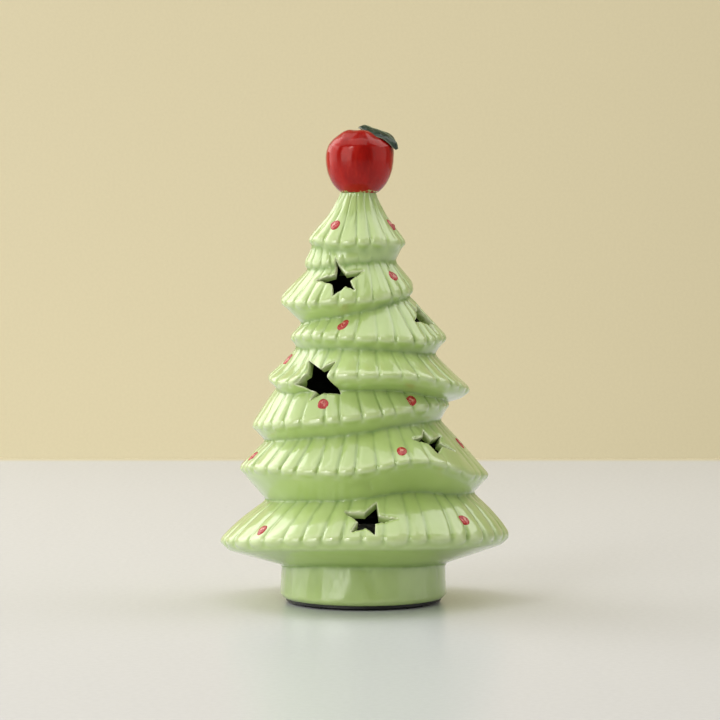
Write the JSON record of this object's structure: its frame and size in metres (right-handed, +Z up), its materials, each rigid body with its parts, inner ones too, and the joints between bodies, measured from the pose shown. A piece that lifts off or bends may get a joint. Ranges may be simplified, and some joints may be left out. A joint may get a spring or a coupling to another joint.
{
  "type": "ceramic christmas tree",
  "caption": "Glazed ceramic tree of tilted fluted tiers with star cut-outs and an apple on top, lit from inside by a plug-in battery light.",
  "frame": {"origin": "on the table under the middle of the trunk", "axes": "+Z up to the apple, the front faces -Y, +X to the front's right"},
  "size_m": [0.1208, 0.1206, 0.1996],
  "materials": {
    "celadon_glaze": "glossy pale green glaze, thin on the ribs",
    "red_glaze": "glossy red glaze",
    "leaf_glaze": "glossy dark green glaze",
    "black_abs": "fine moulded grain",
    "silicone": "matt",
    "foam_rubber": "matt",
    "zinc_steel": "zinc plated",
    "cell_steel": "satin sleeve",
    "nickel_strip": "nickel plated",
    "board_laminate": "solder mask",
    "led_package": "phosphor fill",
    "resistor_body": "matt",
    "switch_shell": "tin plated can",
    "switch_knob": "matt",
    "tinned_copper": "tinned",
    "white_abs": "fine moulded grain",
    "frosted_plastic": "frosted, lets light through"
  },
  "bodies": {
    "tree": {"tree_shell": "celadon_glaze", "apple": "red_glaze", "apple_leaf": "leaf_glaze"},
    "light_unit": {"unit_housing": "black_abs", "grip_pads": "silicone", "foot_pads": "foam_rubber", "battery_cells": "cell_steel", "spring_contact": "nickel_strip", "plate_contact": "nickel_strip", "bridge_contact": "nickel_strip", "circuit_board": "board_laminate", "led_chips": "led_package", "board_resistor": "resistor_body", "switch_body": "switch_shell", "switch_leads": "tinned_copper", "unit_lid": "white_abs", "diffuser_cap": "frosted_plastic"},
    "battery_door": {"battery_door": "black_abs", "door_screw": "zinc_steel"},
    "switch": {"switch_slider": "switch_knob"}
  },
  "joints": [
    {"name": "unit_pull", "type": "slide", "parent": "tree", "child": "light_unit", "axis": [0, 0, -1], "range_m": [0, 0.045]},
    {"name": "door_lift", "type": "slide", "parent": "light_unit", "child": "battery_door", "axis": [0, 0, -1], "range_m": [0, 0.015]},
    {"name": "switch_slide", "type": "slide", "parent": "light_unit", "child": "switch", "axis": [1, 0, 0], "range_m": [0, 0.002]}
  ]
}
